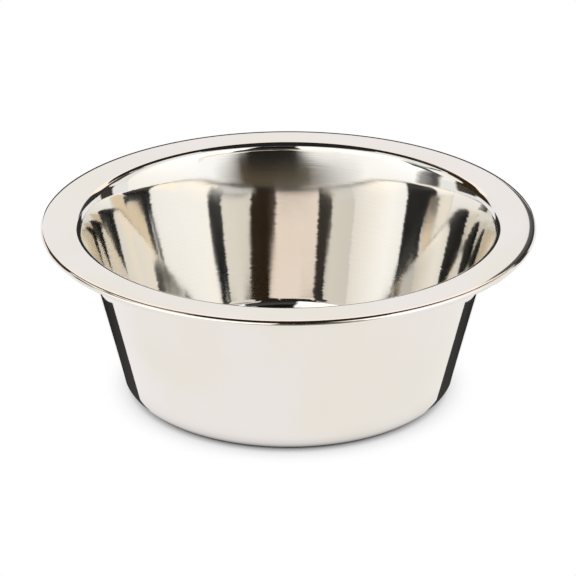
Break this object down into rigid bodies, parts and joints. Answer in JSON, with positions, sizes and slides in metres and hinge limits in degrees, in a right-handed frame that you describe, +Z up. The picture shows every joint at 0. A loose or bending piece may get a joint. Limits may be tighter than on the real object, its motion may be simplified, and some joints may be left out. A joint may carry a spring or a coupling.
{
  "type": "dog bowl",
  "caption": "Round flat-bottomed dog bowl of polished stainless steel with a leaning wall, a wide flat flange and a rolled rim.",
  "frame": {"origin": "on the bowl's axis at the level it stands on", "axes": "+Z up along the bowl's axis, out of its mouth; X and Y across it, alike"},
  "size_m": [0.25, 0.25, 0.0895],
  "materials": {
    "polished_steel": "stainless steel polished to a mirror, with faint turning lines round the inside"
  },
  "bodies": {
    "root": {"bowl_shell": "polished_steel"}
  },
  "joints": []
}
